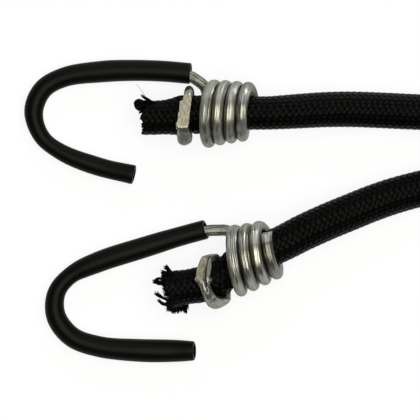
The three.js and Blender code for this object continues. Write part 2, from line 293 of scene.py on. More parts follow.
# The lower side of cut end B, where the yarns hang out in one clump.
CLUMP = [
    [(6.3, -24.6, 9.4), (5.2, -26.3, 9), (4.4, -27.4, 8.6)],
    [(6.6, -24.8, 9), (5.7, -27, 8.6), (5, -28.3, 8.2)],
    [(7, -25, 8.6), (6.2, -27.2, 8.2), (5.6, -28.8, 7.8)],
    [(7.4, -25.2, 8.4), (6.8, -27.4, 8), (6.3, -29, 7.6)],
    [(7.9, -25.2, 8.2), (7.4, -27.4, 7.8), (7.1, -29, 7.4)],
    [(8.4, -25.2, 8.2), (8.1, -27.2, 7.8), (7.9, -28.7, 7.4)],
    [(8.9, -25, 8.2), (8.8, -26.9, 7.8), (8.7, -28.6, 7.4)],
    [(9.4, -24.8, 8.4), (9.4, -26.8, 8), (9.5, -29, 7.4)],
    [(10.2, -24.6, 8.4), (10, -26.2, 8), (9.8, -27.9, 7.6)],
]
STRAY_THREAD = [(-1.5, 31.7, 12.4), (-3.1, 34.1, 13), (-4.5, 35.8, 13.6)]

# The free cord: its line on the table, and its lift over where it lies flat.
RUN_A = [(37.6, 28, 4.1), (43.3, 28.4, 3.2), (50.2, 28.8, 2.1), (57, 28.9, 1.2), (63.9, 28.7, 0.5),
         (77.6, 28.1, 0), (104.6, 27.3, 0), (133.6, 27.1, 0)]
BIGHT = [(163.1, 27.3, 0), (176.1, 29.4, 0), (187.1, 36, 0), (196.1, 45, 0), (209.1, 50, 0), (222.1, 48, 0),
         (232.6, 39.5, 0), (238.1, 27, 0), (238.1, 13.6, 0), (232.6, 1.1, 0), (222.1, -7.4, 0),
         (209.1, -9.4, 0), (196.1, -4.4, 0), (187.1, 4.6, 0), (176.1, 11.2, 0), (163.1, 13.3, 0)]
RUN_B = [(134.6, 13.4, 0), (108.6, 12, 0), (89.6, 9.2, 0), (75.3, 5.9, 0), (68.5, 4, 0.3), (62.2, 1.8, 0.9),
         (56.5, -0.5, 1.7), (51.3, -2.6, 2.5), (46.7, -4.6, 3.2), (42.2, -6.7, 4)]

# How thick the jacket is on its way from each cut end: (distance from the cut, radius).
JACKET_R = {
    "a": [(-6, 4.9), (0, 4.95), (5, 4.9), (8.5, 5.0), (11.2, 5.45), (13.2, 5.9), (14.6, 4.95), (16.6, 5.5),
          (19.5, 5.4), (24, 5.0), (31, 4.85), (37, 4.8), (47, 5.0), (65, 5.15), (90, 5.15)],
    "b": [(-6, 5.7), (0, 5.65), (4, 5.3), (8, 5.0), (11.5, 5.2), (14.4, 5.1), (16.4, 5.3), (17.5, 5.15),
          (18.6, 4.7), (20, 4.45), (21.5, 4.5), (26, 5.25), (33, 5.2), (39, 5.2), (48, 5.3), (65, 5.3),
          (90, 5.15)],
}


class Field:
    """One value in a node tree. Arithmetic on it adds nodes to the tree."""

    def __init__(self, nodes, socket):
        self.nodes = nodes
        self.socket = socket

    def __add__(self, other):
        return self.nodes.math("ADD", self, other)

    def __sub__(self, other):
        return self.nodes.math("SUBTRACT", self, other)

    def __rsub__(self, other):
        return self.nodes.math("SUBTRACT", other, self)

    def __mul__(self, other):
        return self.nodes.math("MULTIPLY", self, other)

    def __truediv__(self, other):
        return self.nodes.math("DIVIDE", self, other)

    __radd__ = __add__
    __rmul__ = __mul__


class Nodes:
    """Adds nodes to one node tree."""

    def __init__(self, tree):
        self.tree = tree

    def add(self, kind, inputs=None, **settings):
        node = self.tree.nodes.new(kind)
        for name, value in settings.items():
            setattr(node, name, value)
        for name, value in (inputs or {}).items():
            socket = next(s for s in node.inputs if s.enabled and s.name == name)
            self.feed(socket, value)
        return node

    def feed(self, socket, value):
        if isinstance(value, Field):
            self.tree.links.new(value.socket, socket)
        else:
            socket.default_value = value

    def field(self, kind, inputs=None, output=None, **settings):
        node = self.add(kind, inputs, **settings)
        shown = [s for s in node.outputs if s.enabled and output in (None, s.name)]
        return Field(self, shown[0])

    def math(self, operation, *values):
        vectors = [v for v in values if isinstance(v, Field) and v.socket.type in ("VECTOR", "RGBA")]
        node = self.tree.nodes.new("ShaderNodeVectorMath" if vectors else "ShaderNodeMath")
        if operation == "MULTIPLY" and len(vectors) == 1:
            operation = "SCALE"
            values = sorted(values, key=lambda v: v is not vectors[0])
        node.operation = operation
        for socket, value in zip([s for s in node.inputs if s.enabled], values):
            self.feed(socket, value)
        return Field(self, next(s for s in node.outputs if s.enabled))

    def clamped(self, value, low, high):
        return self.math("MINIMUM", self.math("MAXIMUM", value, low), high)

    def combine(self, x, y, z):
        return self.field("ShaderNodeCombineXYZ", {"X": x, "Y": y, "Z": z})


class Recipe(Nodes):
    """A geometry node tree with named inputs, listed by their kind."""

    def __init__(self, name, **inputs):
        super().__init__(bpy.data.node_groups.new(name, "GeometryNodeTree"))
        face = self.tree.interface
        for kind, labels in {"Geometry": "Geometry", "Material": "Material", **inputs}.items():
            for label in labels.split():
                face.new_socket(label, in_out="INPUT", socket_type="NodeSocket" + kind)
        face.new_socket("Geometry", in_out="OUTPUT", socket_type="NodeSocketGeometry")
        self.source = self.tree.nodes.new("NodeGroupInput")

    def __getitem__(self, label):
        return Field(self, self.source.outputs[label])

    def random(self, low, high, number, seed):
        inputs = {"Min": low, "Max": high, "ID": number, "Seed": seed}
        return self.field("FunctionNodeRandomValue", inputs, data_type="FLOAT")

    def store(self, geometry, name, value, kind):
        inputs = {"Geometry": geometry, "Name": name, "Value": value}
        return self.field("GeometryNodeStoreNamedAttribute", inputs, data_type=kind, domain="POINT")

    def shaded(self, geometry, straight, number):
        """Yarns that keep their place before they are bent, and a shade of their own."""
        geometry = self.store(geometry, "straight", straight, "FLOAT_VECTOR")
        return self.store(geometry, "shade", self.random(0.0, 1.0, number, SHADE_SEED), "FLOAT")

    def step(self, kind, geometry, **inputs):
        """The geometry after one more node."""
        return self.field("GeometryNode" + kind, {"Geometry": geometry, **inputs})

    def close(self, geometry):
        """Ends the tree: plain faces, smooth, in the piece's material."""
        geometry = self.step("RealizeInstances", geometry)
        geometry = self.step("SetShadeSmooth", geometry)
        geometry = self.step("SetMaterial", geometry, Material=self["Material"])
        end = self.tree.nodes.new("NodeGroupOutput")
        self.tree.links.new(geometry.socket, end.inputs["Geometry"])

    def make(self, base, name, **values):
        """The plain mesh that the tree makes from a base object."""
        modifier = base.modifiers.new("recipe", "NODES")
        modifier.node_group = self.tree
        for item in self.tree.interface.items_tree:
            if item.in_out == "INPUT" and item.name in values:
                modifier[item.identifier] = values[item.name]
        made = base.evaluated_get(bpy.context.evaluated_depsgraph_get())
        mesh = bpy.data.meshes.new_from_object(made)
        base.modifiers.remove(modifier)
        mesh.name = name
        return mesh


class Surface(Nodes):
    """A material with one shader. Its looks can follow the attributes of the piece."""

    def __init__(self, name, color, roughness, metallic=0.0, specular=0.5, tint=(1, 1, 1)):
        self.material = bpy.data.materials.new(name)
        self.material.use_nodes = True
        super().__init__(self.material.node_tree)
        self.shader = self.tree.nodes["Principled BSDF"]
        values = {"Base Color": (*color, 1), "Roughness": roughness, "Metallic": metallic,
                  "Specular IOR Level": specular, "Specular Tint": (*tint, 1)}
        for socket, value in values.items():
            self.set(socket, value)

    def set(self, socket, value):
        self.feed(self.shader.inputs[socket], value)

    def attribute(self, name, output="Fac"):
        return self.field("ShaderNodeAttribute", output=output, attribute_name=name)

    def noise(self, scale, detail=2.0, stretch=1.0):
        """Noise that follows the piece along its length, stretched that way."""
        inputs = {"Vector": self.attribute("straight", "Vector"), "Scale": (scale, scale, scale / stretch)}
        where = self.field("ShaderNodeMapping", inputs)
        return self.field("ShaderNodeTexNoise", {"Vector": where, "Scale": 1.0, "Detail": detail}, "Fac")

    def between(self, value, low, high, first=0.0, last=1.0):
        inputs = {"Value": value, "From Min": first, "From Max": last, "To Min": low, "To Max": high}
        return self.field("ShaderNodeMapRange", inputs)

    def tinted(self, value, low, high):
        colors = [c if isinstance(c, Field) else (*c, 1) for c in (low, high)]
        inputs = {"Factor": value, "A": colors[0], "B": colors[1]}
        return self.field("ShaderNodeMix", inputs, data_type="RGBA")

    def bump(self, height, distance, strength=1.0):
        inputs = {"Height": height, "Distance": distance, "Strength": strength}
        self.set("Normal", self.field("ShaderNodeBump", inputs))


def unit(vectors):
    return vectors / np.linalg.norm(vectors, axis=-1, keepdims=True)


def smooth_line(points):
    """A centripetal Catmull-Rom curve through the points, as the solids follow it."""
    p = np.array(points, float)
    p = np.vstack([2 * p[0] - p[1], p, 2 * p[-1] - p[-2]])
    gaps = np.sqrt(np.linalg.norm(np.diff(p, axis=0), axis=1))
    t = np.linspace(0, 1, SPAN_POINTS, endpoint=False)[:, None]
    spans = []
    for i in range(1, len(p) - 2):
        before, here, after = gaps[i - 1:i + 2]
        step = p[i + 1] - p[i]
        leave = (p[i] - p[i - 1]) / before - (p[i + 1] - p[i - 1]) / (before + here) + step / here
        arrive = step / here - (p[i + 2] - p[i]) / (here + after) + (p[i + 2] - p[i + 1]) / after
        leave, arrive = leave * here, arrive * here
        cubic = (leave + arrive - 2 * step) * t ** 3
        spans.append(p[i] + leave * t + (3 * step - 2 * leave - arrive) * t ** 2 + cubic)
    return np.vstack([*spans, p[-2:-1]])


def lengths_along(line):
    steps = np.linalg.norm(np.diff(line, axis=0), axis=1)
    return np.concatenate([[0], np.cumsum(steps)])


def spaced(line, step):
    """The line again, with points an even step apart."""
    along = lengths_along(line)
    places = np.linspace(0, along[-1], max(2, round(along[-1] / step) + 1))
    return at_lengths(line, places)


def at_lengths(line, places):
    along = lengths_along(line)
    return np.stack([np.interp(places, along, line[:, k]) for k in range(3)], axis=1)


def place(key, points):
    """Points of one end's own frame, in the frame of the whole part."""
    swivel = JOINTS["swivel_" + key]
    cos, sin = swivel["axis"][:2]
    mouth = np.array(swivel["pos_m"][:2]) / MM
    x, y, z = np.array(points, float).T
    return np.stack([mouth[0] + cos * x - sin * y, mouth[1] + sin * x + cos * y, z], axis=1)


def tail_points(key):
    return place(key, [(x, y, AXIS_Z + z) for x, y, z in HOOK[key]["tail"]])


def lying(points):
    return np.array([(x, y, LYING_Z + lift) for x, y, lift in points])


def coil_points(key):
    hook = HOOK[key]
    steps = round(hook["turns"] * COIL_STEPS)
    share = np.linspace(0, 1, steps + 1)
    angle = -math.pi / 2 - share * hook["turns"] * 2 * math.pi
    radius = COIL_R - WIRE_R - hook["flare"] * share
    y, rise = radius * np.cos(angle) * hook["oval"], radius * np.sin(angle)
    y = np.where(y > 0, y * (1 + hook["bulge"] * (1 - share) ** 2), y)
    lean, skew = (np.interp(share, (0, 1), hook[k]) for k in ("lean", "skew"))
    x = hook["start"] + share * hook["turns"] * hook["pitch"] - lean * rise + skew * y
    y = y + hook["drift"] * np.minimum(3 * share, 1)
    return np.stack([x, y, AXIS_Z + rise], axis=1)


def hook_points(key):
    """The points of the sleeve's middle line and of the whole wire's, in the hook's own frame."""
    hook = HOOK[key]
    shank_x, standoff = hook["shank"]
    shank_y = COIL_R + standoff
    flat = [(shank_x + x, shank_y + y, SHANK_Z) for x, y in hook["outline"]]
    flat[0] = (*flat[0][:2], SHANK_Z + hook["tip_lift"])
    drop = (WIRE_R - SHANK_Z) / (len(hook["lead"]) + 1)
    lead = [(shank_x + x, shank_y + y, SHANK_Z + drop * (i + 1)) for i, (x, y) in enumerate(hook["lead"])]
    sag_x, sag_y = hook["sag"]
    bent = (flat[-1][0] + sag_x, flat[-1][1] + sag_y, flat[-1][2])
    return np.array(flat), np.vstack([flat[:-1], [bent], lead, coil_points(key)])


def linked(obj):
    bpy.context.scene.collection.objects.link(obj)
    return obj


def route(name, lines, radii=None):
    """A curve object in metres that a recipe follows."""
    curve = bpy.data.curves.new(name, "CURVE")
    curve.dimensions = "3D"
    for line in lines:
        spline = curve.splines.new("POLY")
        spline.points.add(len(line) - 1)
        spline.points.foreach_set("co", np.column_stack([line * MM, np.ones(len(line))]).ravel())
        if radii is not None:
            spline.points.foreach_set("radius", radii * MM)
    return linked(bpy.data.objects.new(name, curve))


def half_section(points):
    """A line object that holds (distance along a route, reach from it) pairs."""
    mesh = bpy.data.meshes.new("half_section")
    corners = [(along * MM, reach * MM, 0) for along, reach in points]
    mesh.from_pydata(corners, [(i, i + 1) for i in range(len(corners) - 1)], [])
    return linked(bpy.data.objects.new("half_section", mesh))


def piece(name, meshes):
    """One finished object at the origin from one or more meshes."""
    objects = [linked(bpy.data.objects.new(name, mesh)) for mesh in meshes]
    if len(objects) > 1:
        with bpy.context.temp_override(active_object=objects[0], selected_editable_objects=objects):
            bpy.ops.object.join()
    objects[0].data.name = name
    return objects[0]


def removed(*objects):
    for obj in objects:
        bpy.data.objects.remove(obj)


def frame_at(nodes, curve, length):
    """Centre, tangent, two cross directions and radius at a length along a route."""
    inputs = {"Curves": curve, "Length": length, "Value": nodes.field("GeometryNodeInputRadius")}
    sample = nodes.add("GeometryNodeSampleCurve", inputs, mode="LENGTH", data_type="FLOAT")
    outs = {s.name: Field(nodes, s) for s in sample.outputs if s.enabled}
    across = nodes.math("CROSS_PRODUCT", outs["Tangent"], outs["Normal"])
    return outs["Position"], outs["Tangent"], outs["Normal"], across, outs["Value"]


def turned_recipe():
    """A round piece: a half section turned about a route and bent along it."""
    tree = Recipe("Turned along a route", Object="Route", Int="Sides", Vector="Up",
                  Float="East North Reach Stop Slant Fade")
    info = tree.field("GeometryNodeObjectInfo", {"Object": tree["Route"]}, "Geometry")
    size = tree.field("GeometryNodeAttributeDomainSize", {"Geometry": tree["Geometry"]}, "Point Count")
    columns = tree["Sides"] + 1
    grid = tree.field("GeometryNodeMeshGrid", {"Vertices X": size, "Vertices Y": columns}, "Mesh")
    index = tree.field("GeometryNodeInputIndex")
    station = tree.math("FLOOR", (index + 0.5) / columns)
    column = index - station * columns
    corner = tree.field("GeometryNodeSampleIndex",
                        {"Geometry": tree["Geometry"], "Value": tree.field("GeometryNodeInputPosition"),
                         "Index": station}, data_type="FLOAT_VECTOR", domain="POINT")
    parts = tree.add("ShaderNodeSeparateXYZ", {"Vector": corner})
    along, reach = Field(tree, parts.outputs["X"]), Field(tree, parts.outputs["Y"])
    angle = column / tree["Sides"] * (-2 * math.pi)
    east = tree["East"] + reach * tree.math("COSINE", angle)
    north = tree["North"] + reach * tree.math("SINE", angle)
    _, _, normal, across, _ = frame_at(tree, info, along)
    height = tree.math("DOT_PRODUCT", normal * east + across * north, tree["Up"]) / tree["Reach"]
    near = tree.field("ShaderNodeMapRange", {"Value": along, "From Min": tree["Stop"] - tree["Fade"],
                                             "From Max": tree["Stop"]}, interpolation_type="SMOOTHSTEP")
    centre, _, normal, across, _ = frame_at(tree, info, along - near * tree["Slant"] * (height * 0.5 + 0.5))
    spot = centre + normal * east + across * north
    grid = tree.store(grid, "straight", tree.combine(east, north, along), "FLOAT_VECTOR")
    grid = tree.step("SetPosition", grid, Position=spot)
    tree.close(tree.step("MergeByDistance", grid, Distance=MERGE_DISTANCE))
    return tree


def braid_recipe():
    """Flat yarns wound both ways round a route, each over one and under one of the others."""
    tree = Recipe("Braided jacket", Int="Rings Carriers Seed",
                  Float="Start Stop Pitch Width Thickness Ragged")
    section = [*YARN_SECTION, YARN_SECTION[0]]
    columns = len(section)
    yarn = tree.field("GeometryNodeMeshGrid", {"Vertices X": tree["Rings"], "Vertices Y": columns}, "Mesh")
    seats = tree.field("GeometryNodeMeshLine", {"Count": tree["Carriers"]})
    yarns = tree.field("GeometryNodeInstanceOnPoints", {"Points": seats, "Instance": yarn})
    yarns = tree.step("RealizeInstances", yarns)

    index = tree.field("GeometryNodeInputIndex")
    row = tree.math("FLOOR", (index + 0.5) / columns)
    column = index - row * columns
    carrier = tree.math("FLOOR", (row + 0.5) / tree["Rings"])
    ring = row - carrier * tree["Rings"]
    pair = tree.math("FLOOR", (carrier + 0.25) / 2)
    way = 1 - 2 * (carrier - pair * 2)
    each_way = tree["Carriers"] / 2

    last = tree["Rings"] - 3
    share = tree.clamped(ring - 1, 0, last) / last
    start = tree["Start"] + tree["Ragged"] * tree.random(-1.0, 1.0, carrier, tree["Seed"])
    along = start + (tree["Stop"] - start) * share
    angle = (way * along / tree["Pitch"] + pair / each_way) * (2 * math.pi)
    rise = way * tree.math("COSINE", angle * each_way) * CROSSING_STEEPNESS
    rise = tree.clamped(rise, -1, 1) * tree["Thickness"] * 0.5

    centre, tangent, normal, across, radius = frame_at(tree, tree["Geometry"], along)
    cos, sin = tree.math("COSINE", angle), tree.math("SINE", angle)
    outward = normal * cos + across * sin
    round_it = across * cos - normal * sin
    slope = tree.math("ARCTAN2", radius * (2 * math.pi), tree["Pitch"])
    sideways = round_it * tree.math("COSINE", slope) - tangent * (way * tree.math("SINE", slope))

    inner = tree.math("GREATER_THAN", ring, 0.5) * tree.math("LESS_THAN", ring, last + 1.5)
    across_yarn, up = 0, 0
    for number, (side, height) in enumerate(section):
        here = tree.math("COMPARE", column, number, 0.1)
        across_yarn = here * side + across_yarn
        up = here * height + up
    across_yarn = across_yarn * inner * tree["Width"]
    up = up * inner * tree["Thickness"]
    reach = radius - tree["Thickness"] + rise + up
    spot = centre + outward * reach + sideways * (across_yarn * -1)

    length = along / tree.math("COSINE", slope)
    straight = tree.combine(across_yarn, carrier * YARN_GAP, length)
    yarns = tree.shaded(yarns, straight, carrier)
    yarns = tree.step("SetPosition", yarns, Position=spot)
    tree.close(tree.step("MergeByDistance", yarns, Distance=MERGE_DISTANCE))
    return tree


def loose_recipe():
    """Ends of yarn that have come apart into filaments along their guide lines."""
    tree = Recipe("Loose yarn ends", Int="Filaments Points Seed", Float="Spread Curl Thickness")
    lines = tree.field("GeometryNodeResampleCurve", {"Curve": tree["Geometry"], "Count": tree["Points"]})
    lines = tree.field("GeometryNodeDuplicateElements", {"Geometry": lines, "Amount": tree["Filaments"]},
                       "Geometry", domain="SPLINE")
    number = tree.field("GeometryNodeCurveOfPoint", output="Curve Index")
    share = tree.field("GeometryNodeSplineParameter", output="Factor")
    away = tree.combine(*(tree.random(-1.0, 1.0, number, tree["Seed"] + k) for k in range(3)))
    where = tree.field("GeometryNodeInputPosition") + away * WANDER_GAP
    inputs = {"Vector": where, "Scale": WANDER_SCALE, "Detail": 1.0}
    wander = tree.field("ShaderNodeTexNoise", inputs, "Color")
    wander = tree.math("SUBTRACT", wander, (0.5, 0.5, 0.5))
    spread = tree["Spread"] * (share * (1 - ROOT_SPREAD) + ROOT_SPREAD)
    offset = away * spread + wander * (tree["Curl"] * share)
    straight = tree.combine(number * YARN_GAP, 0.0, share * FRAY_LENGTH)
    lines = tree.shaded(lines, straight, number)
    lines = tree.step("SetPosition", lines, Offset=offset)
    inputs = {"Resolution": FILAMENT_SIDES, "Radius": tree["Thickness"]}
    ring = tree.field("GeometryNodeCurvePrimitiveCircle", inputs, "Curve")
    taper = 1 - share * share * TIP_TAPER
    inputs = {"Curve": lines, "Profile Curve": ring, "Scale": taper, "Fill Caps": True}
    tree.close(tree.field("GeometryNodeCurveToMesh", inputs))
    return tree


def braid_material():
    look = Surface("black braid", (0.001, 0.001, 0.001), 0.4, specular=0.04)
    threads = look.noise(5200, detail=1.0, stretch=26)
    tone = threads * 0.5 + look.attribute("shade") * 0.5
    look.set("Base Color", look.tinted(tone, (0.0002, 0.0002, 0.0002), (0.0011, 0.0011, 0.0009)))
    look.set("Roughness", look.between(threads, 0.22, 0.42))
    look.bump(threads, 0.00012)
    return look.material


def grained_material(name, color, roughness, grain, low, high, bump=None, specular=0.5):
    """A plain material with one grain, which is its noise's scale, detail and stretch."""
    look = Surface(name, color, roughness, specular=specular)
    grain = look.noise(*grain)
    look.set("Base Color", look.tinted(grain, low, high))
    if bump:
        look.bump(grain, bump)
    return look.material


def zinc_look(look):
    """Drawn wire: streaks along it and faint duller patches."""
    streaks = look.noise(1500, stretch=24)
    patches = look.noise(300, stretch=2)
    tone = look.between(streaks * 0.6 + patches * 0.4, -0.45, 1.45)
    return streaks, patches, look.tinted(tone, (0.15, 0.15, 0.132), (0.45, 0.45, 0.4))


def painted_light_along(look, first, last, before, after):
    """Painted shade and highlight along the wire: how bright it is, from one shade to another along a bit of
    it.
    """
    where = look.add("ShaderNodeSeparateXYZ", {"Vector": look.attribute("straight", "Vector")})
    return look.between(Field(look, where.outputs["Z"]), before, after, first * MM, last * MM)


def zinc_material():
    look = Surface("drawn zinc", ZINC_COLOR, 0.3, metallic=1.0, tint=ZINC_TINT)
    streaks, patches, color = zinc_look(look)
    # Painted shade darkens the wire at its neck and its last turn, and a painted highlight brightens its cut
    # tip.
    shade = painted_light_along(look, *NECK_PAINTED_SHADE) * painted_light_along(look, *LAST_TURN_PAINTED_SHADE) + painted_light_along(look, *TIP_PAINTED_HIGHLIGHT)
    look.set("Base Color", color * shade)
    look.set("Roughness", look.between(patches, 0.23, 0.42))
    look.bump(streaks, 0.0007, 0.9)
    return look.material


def ring_material():
    """The same wire, pale and dull where the pliers crushed it."""
    look = Surface("crushed zinc", ZINC_COLOR, 0.3, metallic=1.0, tint=ZINC_TINT)
    streaks, _, color = zinc_look(look)
    crush, dark = look.attribute("crush"), look.attribute("dark")
    grain = look.between(look.noise(1900, detail=4.0, stretch=2), -0.5, 1.5)
    pale = look.tinted(grain, (0.13, 0.12, 0.09), (0.46, 0.435, 0.34))
    # Black at the seam and where shade is painted on the ring.
    look.set("Base Color", look.tinted(dark, look.tinted(crush, color, pale), (0.01, 0.01, 0.01)))
    look.set("Metallic", (1 - crush * 0.9) * (1 - dark))
    look.set("Roughness", look.between(crush, 0.34, 0.65))
    look.bump(streaks * (1 - crush) + grain * crush, 0.00016, 0.9)
    return look.material


def vinyl_material():
    look = Surface("black vinyl", (0.002, 0.002, 0.002), 0.5, specular=0.062)
    grain = look.noise(3200, detail=3.0)
    rub = look.noise(240, detail=3.0, stretch=3)
    look.set("Base Color", look.tinted(rub, (0.0006, 0.0006, 0.0006), (0.003, 0.003, 0.0026)))
    look.set("Roughness", look.between(rub, 0.36, 0.47))
    look.bump(grain, 0.00002, 0.6)
    return look.material


def camera_over_table():
    camera = bpy.data.cameras.new("camera")
    camera.sensor_width = SENSOR_WIDTH
    camera.lens = SENSOR_WIDTH * CAMERA_HEIGHT / PICTURE_WIDTH
    camera.clip_end = CAMERA_REACH * MM
    obj = linked(bpy.data.objects.new("camera", camera))
    obj.location = (Vector(PICTURE_CENTRE) + Vector((0, 0, CAMERA_HEIGHT))) * MM
    bpy.context.scene.camera = obj


def whole_cord():
    """The cord's middle line, and where along it the bight begins and ends and the coils let it go."""
    tail_a, tail_b = tail_points("a"), tail_points("b")[::-1]
    points = np.vstack([tail_a, lying(RUN_A), lying(BIGHT), lying(RUN_B), tail_b])
    line = smooth_line(points)
    along = lengths_along(line)[::SPAN_POINTS]
    marks = {
        "exit_a": along[len(tail_a) - 1],
        "bight_a": along[len(tail_a) + len(RUN_A)],
        "bight_b": along[len(tail_a) + len(RUN_A) + len(BIGHT) - 1],
        "exit_b": along[len(points) - len(tail_b)],
        "end": along[-1],
    }
    return line, marks


def cord_route(line, marks):
    """The cord's line with a spare straight bit past each cut end, and the jacket's radius on it."""
    before = line[0] - unit(line[1] - line[0]) * LOOSE_END
    after = line[-1] + unit(line[-1] - line[-2]) * LOOSE_END
    longer = spaced(np.vstack([before, line, after]), ROUTE_STEP)
    places = lengths_along(longer) - LOOSE_END
    radii = np.full(len(places), JACKET_R["a"][-1][1])
    for key, distance in (("a", places), ("b", marks["end"] - places)):
        x, y, _ = smooth_line([(d, r, 0) for d, r in JACKET_R[key]]).T
        near = distance < x[-1]
        radii[near] = np.interp(distance[near], x, y)
    return longer, radii


def rod_section(start, stop, radius, step, rounding):
    """Half section of a solid round rod with rounded ends."""
    middle = np.linspace(start + rounding, stop - rounding, max(2, round((stop - start) / step)))
    inset = EDGE_MIDDLE * rounding
    ends = [(start, 0), (start, radius - rounding), (start + inset, radius - inset)]
    other = [(start + stop - along, reach) for along, reach in reversed(ends)]
    return [*ends, *((along, radius) for along in middle), *other]


def tube_section(stop, radii, wall, step, rounding):
    """Half section of a tube with rounded rims, as one closed loop, its radius by the way from its tip."""
    x, y, _ = smooth_line([(along, radius, 0) for along, radius in radii]).T
    places = np.linspace(rounding, stop - rounding, round(stop / step))
    outer = np.column_stack([places, np.interp(places, x, y)])
    inner = np.maximum(outer[::-1] - (0, wall), (0, WIRE_R + SLEEVE_FIT))
    tip, mouth = y[0], y[-1]
    inset = EDGE_MIDDLE * rounding
    rim = [(inset, -inset), (0, -rounding), (0, 0.5 * rounding - wall), (0.5 * rounding, -wall)]
    first = [(along, tip + reach) for along, reach in reversed(rim)]
    last = [(stop - along, mouth + reach) for along, reach in rim]
    return [*first, *outer, *last, *inner, first[0]]


TURNED = turned_recipe()
BRAID = braid_recipe()
LOOSE = loose_recipe()
BRAID_BLACK = braid_material()
THREAD = grained_material("stray thread", (0.22, 0.21, 0.2), 0.6, (3000, 1.0, 3), (0.12, 0.11, 0.1),
                          (0.32, 0.31, 0.3))
LATEX = grained_material("latex strand", (0.03, 0.028, 0.026), 0.6, (2500, 2.0, 4), (0.02, 0.018, 0.017),
                         (0.045, 0.042, 0.04), bump=0.00005)
ZINC = zinc_material()
CRUSHED = ring_material()
VINYL = vinyl_material()
# Near-black material for the ring faces in deep painted shade.
PAINTED_SHADE_ZINC = grained_material("blackened zinc", (0.008, 0.008, 0.007), 0.7, (1900, 3.0, 1),
                           (0.003, 0.003, 0.003), (0.016, 0.016, 0.014), bump=0.0001, specular=0.1)


def turned(name, section, path, sides, material, east=0.0, north=0.0, slant=0.0, up=(0, 0, 1)):
    """A round piece; its upper side stands back at its end by the slant."""
    base = half_section(section)
    stop, reach = np.max(section, axis=0)
    fade = max(SLANT_FADE * slant, LEAST_FADE)
    mesh = TURNED.make(base, name, Route=path, Sides=sides, East=east * MM, North=north * MM,
                       Reach=reach * MM, Stop=stop * MM, Slant=slant * MM, Fade=fade * MM, Up=up,
                       Material=material)
    removed(base)
    return mesh


def jacket_radius(path, places):
    """How thick the jacket is at places along the cord's route."""
    radii = np.array([p.radius for p in path.data.splines[0].points]) / MM
    return np.interp(places, np.arange(len(radii)) * ROUTE_STEP, radii)


def backing_section(path, start, stop):
    """The jacket's inner face, as thick and thin as the jacket is there."""
    places = np.linspace(start, stop, round((stop - start) / CORE_STEP)) + LOOSE_END
    outer = list(zip(places, jacket_radius(path, places) - BACKING_DEPTH))
    inner = [(along, r - BACKING_WALL) for along, r in reversed(outer)]
    return [*outer, *inner, outer[0]]


def cord_stretch(name, path, start, stop, ragged):
    """One stretch of the cord: its braided jacket, and the strands in it."""
    rings = round(abs(stop - start) / YARN_STEP)
    yarns = BRAID.make(path, name, Start=(start + LOOSE_END) * MM, Stop=(stop + LOOSE_END) * MM, Rings=rings,
                       Carriers=CARRIERS, Pitch=BRAID_PITCH * MM, Width=YARN_WIDTH * MM,
                       Thickness=YARN_THICKNESS * MM, Ragged=ragged * MM, Seed=BRAID_SEED,
                       Material=BRAID_BLACK)
    low, high = sorted((start, stop))
    backing = turned(name, backing_section(path, low, high), path, BACKING_SIDES, BRAID_BLACK)
    jacket = piece("braid_" + name, [yarns, backing])
    strands = []
    for number in range(STRANDS):
        angle = number * 2 * math.pi / (STRANDS - 1)
        off = 0 if number == 0 else STRAND_D + STRAND_GAP
        section = rod_section(low + LOOSE_END, high + LOOSE_END, STRAND_D / 2, CORE_STEP, STRAND_EDGE)
        strands.append(turned(name, section, path, STRAND_SIDES, LATEX,
                              off * math.cos(angle), off * math.sin(angle)))
    core = piece("core_" + name, strands)
    return jacket, core


def cut_ends(path, start):
    """Short guide lines for the ends of the yarns, all round the cut at the end of the cord's route."""
    line = np.array([p.co[:3] for p in path.data.splines[0].points]) / MM
    guides = []
    for number in range(CARRIERS):
        wild = Vector((number * 3.7, start, 1.3))
        angle = (number + STUB_ASKEW * noise.noise(wild)) * 2 * math.pi / CARRIERS
        tip = STUB_TIP - STUB_UNEVEN * noise.noise(wild * 1.7)
        points = []
        for step, flare in (*STUB_ROOT, (tip, STUB_FLARE)):
            place_along = start + LOOSE_END - step
            here, ahead = at_lengths(line, [place_along, place_along + ROUTE_STEP])
            tangent = unit(ahead - here)
            side = unit(np.cross(tangent, (0, 0, 1)))
            up = np.cross(side, tangent)
            reach = jacket_radius(path, place_along) + flare
            points.append(here + reach * (math.cos(angle) * side + math.sin(angle) * up))
        guides.append(points)
    return guides


def loose_yarn(guides, looks, points, radius, seed, material):
    """The filaments of some yarns along their guide lines."""
    filaments, spread, curl = looks
    base = route("loose_ends", [smooth_line(guide) for guide in guides])
    mesh = LOOSE.make(base, "fray", Filaments=filaments, Points=points, Spread=spread * MM, Curl=curl * MM,
                      Thickness=radius * MM, Seed=seed, Material=material)
    removed(base)
    return mesh


def make_fray(key, path, start):
    """The loose ends of the yarns at one cut end."""
    yarns = LOOSE_YARNS[key]
    if key == "a":
        bundles = [(yarns[:LOOP_YARNS], LOOP), (yarns[LOOP_YARNS:], WISPS)]
    else:
        bundles = [(yarns, TUFTS), (cut_ends(path, start), STUBS), (CLUMP, HANGING)]
    meshes = [loose_yarn(guides, looks, FILAMENT_POINTS, FILAMENT_R, FRAY_SEED, BRAID_BLACK)
              for guides, looks in bundles]
    if key == "a":
        meshes.append(loose_yarn([STRAY_THREAD], STRAY, THREAD_POINTS, THREAD_R, THREAD_SEED, THREAD))
    fray = piece("fray_" + key, meshes)
    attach(fray, "end_" + key)
    return fray


def ease(value):
    value = np.clip(value, 0, 1)
    return value * value * (3 - 2 * value)


def rough(x, y, scale, seed):
    """Smooth noise over two arrays of places."""
    values = [noise.noise(Vector((a * scale, b * scale, seed))) for a, b in zip(x.ravel(), y.ravel())]
    return np.array(values).reshape(x.shape)


def by_angle(pairs, degrees):
    """A value that is given at some angles round a ring, at all of them."""
    return np.interp(degrees, *np.array(pairs).T, period=360)


def window(degrees, first, last, edge):
    """1 between two angles, and 0 outside them, with soft edges."""
    return ease((degrees - first) / edge) * ease((last - degrees) / edge)


